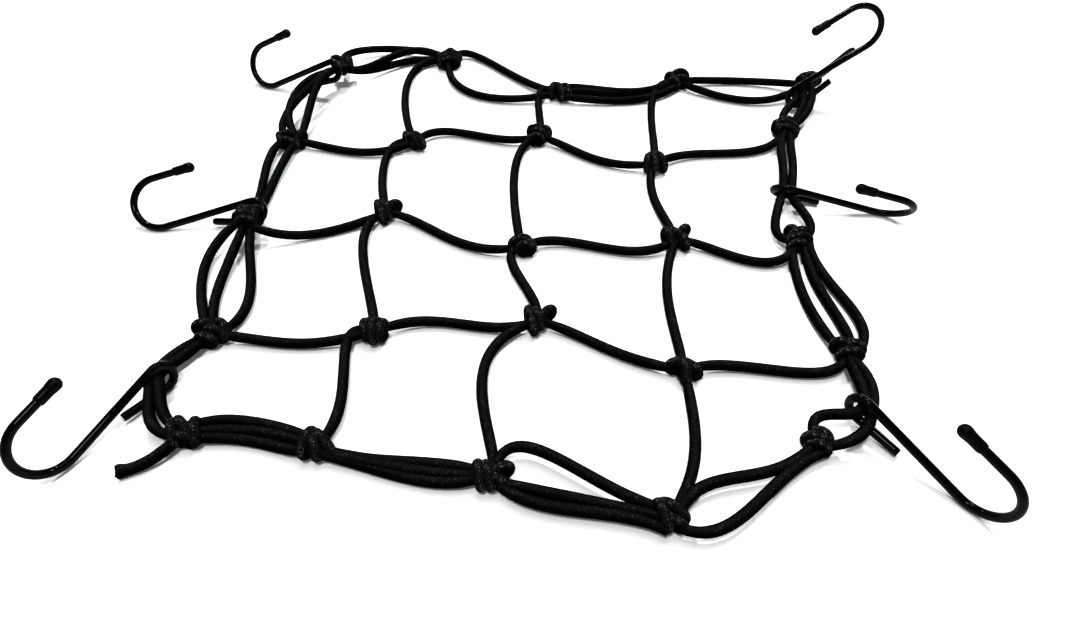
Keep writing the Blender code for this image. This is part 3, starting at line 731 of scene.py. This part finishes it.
def frayed_end(tail, radius):
    """The cut end of a cord: rubber strands' ends in rings of 1, 6 and 12, and frayed threads.

    A strand end is a short round peg with a domed top.  A thread starts on the rim and leans
    outwards along a quarter of a parabola, with its length and lean from fixed waves.
    """
    route = tail_route(tail)
    ahead = unit(route[-1] - route[-3])
    side = unit(np.cross(ahead, UP))
    rise = np.cross(ahead, side)
    share = np.linspace(0.0, 1.0, 5)[:, None]
    skins = []
    peg_radii = np.array([0.58, 0.58, 0.58, 0.5, 0.26])
    for ring, count in ((0.0, 1), (1.15, 6), (2.3, 12)):
        for place in range(count):
            angle = 2 * math.pi * place / count + ring
            spot = route[-1] + (side * math.cos(angle) + rise * math.sin(angle)) * ring
            peg = spot + ahead * (-0.6 + (0.9 + 0.25 * math.sin(5 * angle + ring)) * share)
            skins.append(carried_ring(peg, peg_radii, 8, UP))
    threads = 11
    thread_radii = np.array([0.8, 0.95, 1.0, 0.9, 0.5])
    for number in range(threads):
        angle = 2 * math.pi * number / threads
        outward = side * math.cos(angle) + rise * math.sin(angle)
        root = route[-1] + outward * radius * 0.92 - ahead * 1.4
        length = 1.7 + 0.5 * math.sin(number * 2.3)
        lean = 0.55 + 0.35 * math.sin(number * 4.1)
        sway = np.cross(ahead, outward) * 0.4 * math.sin(number * 1.7)
        thread = root + ahead * length * share + (outward * lean + sway) * share ** 2
        width = 0.95 + 0.15 * math.sin(number * 3.1)
        skins.append(carried_ring(thread, width * thread_radii, 10, UP, 1, 1))
    for skin in skins:
        skin.points[:, 2] = np.maximum(skin.points[:, 2], 0.05)
    return skins


def cap_profile(outer, bore):
    """A dipped cap's (radius, height) from its tip, over its lip, to the end of its bore.

    The tip is a quarter circle, the ball end narrows to a sleeve by a smooth ramp, and the
    sleeve ends in a thin tapered lip at height 0.
    """
    quarter = np.linspace(0.0, math.pi / 2, 14)[1:]
    taper = np.linspace(0.0, 1.0, 9)[1:]
    sleeve = outer - CAP_NARROWING
    bore_end = CAP_LENGTH - CAP_END_WALL
    tip = [(0.02, CAP_LENGTH)]
    ball = zip(outer * np.sin(quarter), CAP_LENGTH - outer * (1 - np.cos(quarter)))
    neck = zip(outer - CAP_NARROWING * smooth_step(taper), CAP_LENGTH - outer - CAP_TAPER * taper)
    lip = [(sleeve, 1.9), (sleeve - 0.02, 1.4), (sleeve - 0.14, 0.8), (sleeve - 0.34, 0.3),
           (bore + 0.12, 0.02), (bore, 0.1)]
    inside = [(bore, bore_end - 0.3), (bore - 0.3, bore_end), (0.02, bore_end)]
    return [*tip, *ball, *neck, *lip, *inside]


def make_piece(name, skins, materials, stands_for=()):
    """One mesh of many skins, whose point numbers are shifted to follow each other."""
    counts = np.array([len(skin.points) for skin in skins])
    shifts = np.cumsum(counts) - counts
    quads = np.concatenate([skin.quads + shift for skin, shift in zip(skins, shifts)])
    fans = np.concatenate([skin.fans + shift for skin, shift in zip(skins, shifts)])
    points = np.concatenate([skin.points for skin in skins]) * MM
    uv = np.concatenate([np.concatenate([skin.quad_uv for skin in skins]).reshape(-1, 2),
                         np.concatenate([skin.fan_uv for skin in skins]).reshape(-1, 2)])
    finish = np.concatenate([np.full(len(skin.quads), skin.finish) for skin in skins]
                            + [np.full(len(skin.fans), skin.end_finish) for skin in skins])
    corners = np.concatenate([np.full(len(quads), 4), np.full(len(fans), 3)])
    smooth = np.concatenate([np.ones(len(quads), bool), np.zeros(len(fans), bool)])

    mesh = bpy.data.meshes.new(name)
    mesh.vertices.add(len(points))
    mesh.vertices.foreach_set("co", points.ravel())
    mesh.loops.add(int(corners.sum()))
    mesh.loops.foreach_set("vertex_index", np.concatenate([quads.ravel(), fans.ravel()]))
    mesh.polygons.add(len(corners))
    mesh.polygons.foreach_set("loop_start", np.cumsum(corners) - corners)
    mesh.polygons.foreach_set("loop_total", corners)
    mesh.polygons.foreach_set("use_smooth", smooth)
    layer = mesh.uv_layers.new(name="way_along")
    layer.uv.foreach_set("vector", uv.ravel())
    for material in materials:
        mesh.materials.append(material)
    mesh.polygons.foreach_set("material_index", finish)
    mesh.update(calc_edges=True)
    if mesh.validate():
        raise RuntimeError(name + " has faces that a mesh can't hold")
    piece = bpy.data.objects.new(name, mesh)
    bpy.context.scene.collection.objects.link(piece)
    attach(piece, "root")
    if stands_for:
        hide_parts(*stands_for)


# ------------ materials
def add_node(tree, kind, sockets=None, **settings):
    """Adds a shader node with its own settings, and fills its sockets.

    A socket takes a number, a colour, another node's socket, or a node for its first one.
    """
    node = tree.nodes.new("ShaderNode" + kind)
    for name, value in settings.items():
        setattr(node, name, value)
    for name, value in (sockets or {}).items():
        if isinstance(value, bpy.types.Node):
            value = value.outputs[0]
        if isinstance(value, bpy.types.NodeSocket):
            tree.links.new(value, node.inputs[name])
        else:
            node.inputs[name].default_value = value
    return node


def new_material(name, **constants):
    """A material of one shader, with what is the same all over set on the shader itself.

    Gives the material, its links, its shader, and add_node for its own tree.
    """
    material = bpy.data.materials.new(name)
    material.use_nodes = True
    tree = material.node_tree
    tree.nodes.clear()
    add = partial(add_node, tree)
    shader = add("BsdfPrincipled",
                 {key.replace("_", " "): value for key, value in constants.items()})
    add("OutputMaterial", {"Surface": shader})
    return material, tree.links, shader, add


def braided_polyester(settings, look):
    """Braided polyester sheath over rubber, dyed black: a dull cord whose threads glint.

    The plaits cross round the cord in pairs, each PLAIT_LENGTH long.  The two families of
    plaits are waves of (pairs * u + v / length) and (pairs * u - v / length), and the
    product of the waves says which one lies on top.  Threads run along a plait, so a
    thread's painted glint is noise over the upper plait's own wave number and v.  Light and
    shade are painted into the base colour: paler on its bright side, painted shade in the
    creases and next to the ground, and painted highlights where threads glint.
    """
    material, links, shader, add = new_material(
        look.name, Metallic=0.0, IOR=1.45, Specular_IOR_Level=0.001)
    around = add("UVMap", uv_map="way_along")
    split = add("SeparateXYZ", {"Vector": around})
    turn, along = split.outputs["X"], split.outputs["Y"]
    pairs = add("Math", {0: turn, 1: PLAIT_PAIRS}, operation="MULTIPLY")
    phases, waves, crowns = [], [], []
    for hand in (1.0, -1.0):
        phases.append(add("Math", {0: along, 1: hand / PLAIT_LENGTH, 2: pairs},
                          operation="MULTIPLY_ADD"))
        angle = add("Math", {0: phases[-1], 1: math.pi}, operation="MULTIPLY")
        waves.append(add("Math", {0: angle}, operation="SINE"))
        crowns.append(add("Math", {0: waves[-1]}, operation="ABSOLUTE"))
    product = add("Math", {0: waves[0], 1: waves[1]}, operation="MULTIPLY")
    upper = add("MapRange", {"Value": product, "From Min": -0.15, "From Max": 0.15})
    plait = add("Mix", {0: upper, 2: crowns[0], 3: crowns[1]})
    phase = add("Mix", {0: upper, 2: phases[0], 3: phases[1]})

    # threads, 0.7 mm wide where they are drawn
    drawn = add("Mapping", {"Vector": around, "Scale": (26.0, 1.4, 1.0)})
    threads = add("TexNoise", {"Vector": drawn, "Scale": 1.0, "Detail": 1.0})
    height = add("Math", {0: threads, 1: 0.45, 2: plait}, operation="MULTIPLY_ADD")
    bump = add("Bump", {"Strength": 0.6, "Distance": 0.0003, "Height": height})
    rough = add("MapRange", {"Value": threads, "From Min": 0.35, "From Max": 0.7,
                             "To Min": 0.62, "To Max": 0.34})

    # painted light and shade: paler on the lit side, painted shade next to the ground by the
    # height in metres, and in the creases by the plaits' crest
    away = add("Math", {0: turn, 1: look.bright_side}, operation="SUBTRACT")
    angle = add("Math", {0: away, 1: 2 * math.pi}, operation="MULTIPLY")
    side = add("Math", {0: angle}, operation="COSINE")
    lit_side = add("MapRange", {"Value": side, "From Min": look.shade_from})
    facing = add("Math", {0: lit_side, 1: 4.5}, operation="POWER")
    place = add("TexCoord").outputs["Object"]
    above = add("SeparateXYZ", {"Vector": place}).outputs["Z"]
    off_ground = add("MapRange", {"Value": above, "From Min": 0.001, "From Max": 0.007,
                                  "To Min": 0.2})
    # painted light on the lit side, times painted shade next to the ground
    rubbed = add("Math", {0: facing, 1: off_ground}, operation="MULTIPLY")
    # painted shade in the creases, full light on the crest
    on_crest = add("MapRange", {"Value": plait, "From Min": 0.15, "To Min": 0.42})
    painted_light_mask = add("Math", {0: rubbed, 1: on_crest}, operation="MULTIPLY")
    # the sheath's colour, painted paler where light falls and darker where shade falls
    pale = add("Mix", {0: painted_light_mask, 6: settings.cord_colour, 7: settings.painted_light_colour},
               data_type="RGBA")

    # painted highlights: single threads that catch the light, in patches about 8 mm long
    own = add("CombineXYZ", {"X": phase, "Y": along})
    fine = (3.6 * look.fineness, 0.5 * look.fineness, 1.0)
    dashed = add("Mapping", {"Vector": own, "Scale": fine})
    dash = add("TexNoise", {"Vector": dashed, "Scale": 1.0, "Detail": 0.0})
    patched = add("Mapping", {"Vector": around, "Scale": (2.0, 0.12, 1.0)})
    patch = add("TexNoise", {"Vector": patched, "Scale": 1.0, "Detail": 1.0})
    both = add("Math", {0: patch, 1: 0.3, 2: dash}, operation="MULTIPLY_ADD")
    glint = add("MapRange", {"Value": both, "From Min": look.rarity,
                             "From Max": look.rarity + 0.08, "To Max": look.gleam})
    shine = add("Math", {0: glint, 1: painted_light_mask}, operation="MULTIPLY")
    # the painted thread glints laid over the painted light
    colour = add("Mix", {0: shine, 6: pale.outputs[2], 7: settings.painted_glint_colour},
                 data_type="RGBA")
    links.new(colour.outputs[2], shader.inputs["Base Color"])
    links.new(rough.outputs[0], shader.inputs["Roughness"])
    links.new(bump.outputs[0], shader.inputs["Normal"])
    return material


def rubber_core():
    """Natural rubber strands of the cord's core, cut across: matt and dark grey."""
    material, links, shader, add = new_material(
        "cut_rubber_core", Metallic=0.0, Roughness=0.85, IOR=1.5, Specular_IOR_Level=0.2)
    place = add("TexCoord").outputs["Object"]
    # torn grain of 0.6 mm
    grain = add("TexNoise", {"Vector": place, "Scale": 1800.0, "Detail": 1.0})
    colour = add("Mix", {0: grain, 6: linear("#040505"), 7: linear("#151616")}, data_type="RGBA")
    links.new(colour.outputs[2], shader.inputs["Base Color"])
    return material


def coated_steel(settings):
    """Steel wire in a gloss black dipped coating: deep black with small sharp highlights."""
    material, links, shader, add = new_material(
        "gloss_coated_steel_wire", Base_Color=settings.wire_colour, Metallic=0.0, IOR=1.45,
        Specular_IOR_Level=0.04)
    place = add("TexCoord").outputs["Object"]
    # the coating's slow ripple, 3 mm long, and a dust of 0.4 mm
    ripple = add("TexNoise", {"Vector": place, "Scale": 330.0, "Detail": 1.0})
    dust = add("TexNoise", {"Vector": place, "Scale": 2500.0, "Detail": 2.0})
    bump = add("Bump", {"Strength": 0.25, "Distance": 0.0001, "Height": ripple})
    rough = add("MapRange", {"Value": dust, "From Min": 0.4, "From Max": 0.75,
                             "To Min": 0.015, "To Max": 0.05})
    links.new(rough.outputs[0], shader.inputs["Roughness"])
    links.new(bump.outputs[0], shader.inputs["Normal"])
    return material


def cut_steel():
    """The bare end of the wire where it was sheared: bright steel with drag marks."""
    material, links, shader, add = new_material(
        "sheared_steel_end", Metallic=1.0, Roughness=0.35)
    place = add("TexCoord").outputs["Object"]
    # marks 1.1 mm long and 0.2 mm apart
    stretched = add("Mapping", {"Vector": place, "Scale": (1.0, 1.0, 6.0)})
    marks = add("TexNoise", {"Vector": stretched, "Scale": 900.0, "Detail": 2.0})
    colour = add("Mix", {0: marks, 6: linear("#8d8f91"), 7: linear("#d3d5d6")}, data_type="RGBA")
    bump = add("Bump", {"Strength": 0.4, "Distance": 0.0001, "Height": marks})
    links.new(colour.outputs[2], shader.inputs["Base Color"])
    links.new(bump.outputs[0], shader.inputs["Normal"])
    return material


def dipped_vinyl(settings):
    """Soft vinyl dipped over the tip: satin black, a little duller than the wire."""
    material, links, shader, add = new_material(
        "dipped_vinyl_tip", Base_Color=settings.cap_colour, Metallic=0.0, IOR=1.5,
        Specular_IOR_Level=0.02)
    place = add("TexCoord").outputs["Object"]
    # the vinyl's fine orange peel, 0.6 mm, and rubbed patches of 2 mm
    peel = add("TexNoise", {"Vector": place, "Scale": 1600.0, "Detail": 2.0})
    rubbed = add("TexNoise", {"Vector": place, "Scale": 500.0, "Detail": 1.0})
    bump = add("Bump", {"Strength": 0.3, "Distance": 0.00015, "Height": peel})
    rough = add("MapRange", {"Value": rubbed, "From Min": 0.3, "From Max": 0.7,
                             "To Min": 0.16, "To Max": 0.30})
    links.new(rough.outputs[0], shader.inputs["Roughness"])
    links.new(bump.outputs[0], shader.inputs["Normal"])
    return material


def painted_board(settings):
    """The studio's floor: matt white painted board."""
    return new_material("matt_white_board", Base_Color=settings.floor_colour, Roughness=0.9,
                        Specular_IOR_Level=0.1)[0]


# ------------ operators
class CARGONET_OT_stage(Operator):
    """Makes the floor, the lamps, the air and the camera"""

    bl_idname = "cargo_net.make_stage"
    bl_label = "Make the stage"

    def execute(self, context):
        scene = context.scene
        mesh = bpy.data.meshes.new("studio_floor")
        corners = ((-1, -1), (1, -1), (1, 1), (-1, 1))
        mesh.from_pydata([(x * FLOOR_HALF, y * FLOOR_HALF, 0) for x, y in corners],
                         [], [(0, 1, 2, 3)])
        mesh.materials.append(painted_board(scene.cargo_net_settings))
        floor = bpy.data.objects.new("studio_floor", mesh)
        scene.collection.objects.link(floor)

        for lamp in LAMPS:
            light = bpy.data.lights.new(lamp.name, "AREA")
            light.shape = "SQUARE"
            light.size = lamp.size
            light.energy = lamp.power
            holder = bpy.data.objects.new(lamp.name, light)
            spot = np.array([lamp.x, lamp.y, lamp.z])
            aim = unit(np.array(LAMPS_AIM) - spot)
            holder.location = spot
            holder.rotation_euler = (math.acos(-aim[2]), 0.0, math.radians(heading_of(aim) - 90))
            scene.collection.objects.link(holder)

        # pale at the horizon, dim above, as in a studio with pale walls and a dark ceiling
        world = bpy.data.worlds.new("studio_air")
        world.use_nodes = True
        tree = world.node_tree
        background = tree.nodes["Background"]
        direction = add_node(tree, "TexCoord").outputs["Generated"]
        height = add_node(tree, "SeparateXYZ", {"Vector": direction}).outputs["Z"]
        glow = add_node(tree, "MapRange", {"Value": height, "From Min": 0.25, "From Max": 0.55,
                                           "To Min": 0.92, "To Max": 0.10},
                        interpolation_type="SMOOTHSTEP")
        tree.links.new(glow.outputs[0], background.inputs["Strength"])
        background.inputs["Color"].default_value = linear("#fbfcfc")
        scene.world = world
        scene.view_settings.view_transform = "Standard"

        camera = bpy.data.cameras.new("view_camera")
        camera.sensor_fit = "HORIZONTAL"
        camera.sensor_width = SENSOR_WIDTH
        camera.lens = CAMERA_LENS
        camera.clip_start = 0.01
        camera.clip_end = 20.0
        holder = bpy.data.objects.new("view_camera", camera)
        holder.location = CAMERA_PLACE
        holder.rotation_euler = (math.radians(CAMERA_PITCH), 0.0, 0.0)
        scene.collection.objects.link(holder)
        scene.camera = holder
        return {"FINISHED"}


class CARGONET_OT_cords(Operator):
    """Makes every braided cord of the net, from knot to knot, and its two free ends"""

    bl_idname = "cargo_net.make_cords"
    bl_label = "Make the cords"

    def execute(self, context):
        settings = context.scene.cargo_net_settings
        radius = settings.cord_diameter / 2 / MM
        routes = [cord_route(cord) for cord in CORDS] + [eye_cord_route(cord) for cord in EYE_CORDS]
        skins = [cord_skin(route, radius, seed) for seed, route in enumerate(routes)]
        skins += [tail_skin(tail, radius, seed) for seed, tail in enumerate(TAILS)]
        sheath = braided_polyester(settings, LOOSE_SHEATH)
        make_piece("braided_cords", skins, [sheath], ["net"])
        frayed = frayed_end(TAILS[0], radius)
        make_piece("frayed_cord_ends", frayed, [rubber_core(), sheath])
        return {"FINISHED"}


class CARGONET_OT_knots(Operator):
    """Makes the wrapped turns of all twenty five knots"""

    bl_idname = "cargo_net.make_knots"
    bl_label = "Make the knots"

    def execute(self, context):
        settings = context.scene.cargo_net_settings
        radius = settings.cord_diameter / 2 / MM
        skins = []
        for seed, knot in enumerate(KNOTS):
            skins += [turn_skin(knot, turn, radius * TURN_TIGHTNESS, seed + place)
                      for place, turn in enumerate(KNOT_TURNS[knot.name])]
            skins.append(knot_core(knot, radius))
        sheath = braided_polyester(settings, TIGHT_SHEATH)
        make_piece("wrapped_knots", skins, [sheath], ["net"])
        return {"FINISHED"}


class CARGONET_OT_hooks(Operator):
    """Makes the six coated wire hooks"""

    bl_idname = "cargo_net.make_hooks"
    bl_label = "Make the hooks"

    def execute(self, context):
        settings = context.scene.cargo_net_settings
        finishes = [coated_steel(settings), cut_steel()]
        for hook in HOOKS:
            route = even_points(hook_route(hook), WIRE_STEP)
            radii = np.full(len(route), settings.wire_diameter / 2 / MM)
            radii[[0, -1]] -= WIRE_END_BURR
            skin = carried_ring(route, radii, WIRE_SIDES, np.cross(*hook_axes(hook)), 0, 1)
            make_piece("coated_wire_" + hook.name, [skin], finishes,
                       ["hook_" + hook.name])
        return {"FINISHED"}


class CARGONET_OT_caps(Operator):
    """Makes the six dipped caps on the hooks' tips"""

    bl_idname = "cargo_net.make_caps"
    bl_label = "Make the dipped caps"

    def execute(self, context):
        settings = context.scene.cargo_net_settings
        vinyl = dipped_vinyl(settings)
        profile = cap_profile(settings.cap_diameter / 2 / MM,
                              settings.wire_diameter / 2 / MM + CAP_FIT)
        for hook in HOOKS:
            along, across = hook_axes(hook)
            mouth = hook_route(hook)[-1] + along * (CAP_LENGTH - CAP_END_WALL - CAP_CLEARANCE)
            skin = turned_profile(profile, mouth, -along, across)
            make_piece("dipped_cap_" + hook.name, [skin], [vinyl],
                       ["tip_cap_" + hook.name])
        return {"FINISHED"}


class CARGONET_PT_panel(Panel):
    """Lists the sizes, the colours and the pieces of the cargo net"""

    bl_idname = "CARGONET_PT_panel"
    bl_label = "Cargo net"
    bl_space_type = "VIEW_3D"
    bl_region_type = "UI"
    bl_category = "Cargo net"

    def draw(self, context):
        for name in CargoNetSettings.__annotations__:
            self.layout.prop(context.scene.cargo_net_settings, name)
        for operator in OPERATORS:
            self.layout.operator(operator.bl_idname)


OPERATORS = (CARGONET_OT_stage, CARGONET_OT_cords, CARGONET_OT_knots, CARGONET_OT_hooks,
             CARGONET_OT_caps)
CLASSES = (CargoNetSettings, *OPERATORS, CARGONET_PT_panel)


def register():
    for item in CLASSES:
        bpy.utils.register_class(item)
    bpy.types.Scene.cargo_net_settings = PointerProperty(type=CargoNetSettings)


def unregister():
    del bpy.types.Scene.cargo_net_settings
    for item in reversed(CLASSES):
        bpy.utils.unregister_class(item)


def main():
    register()
    bpy.ops.cargo_net.make_stage()
    bpy.ops.cargo_net.make_cords()
    bpy.ops.cargo_net.make_knots()
    bpy.ops.cargo_net.make_hooks()
    bpy.ops.cargo_net.make_caps()


if __name__ == "__main__":
    main()
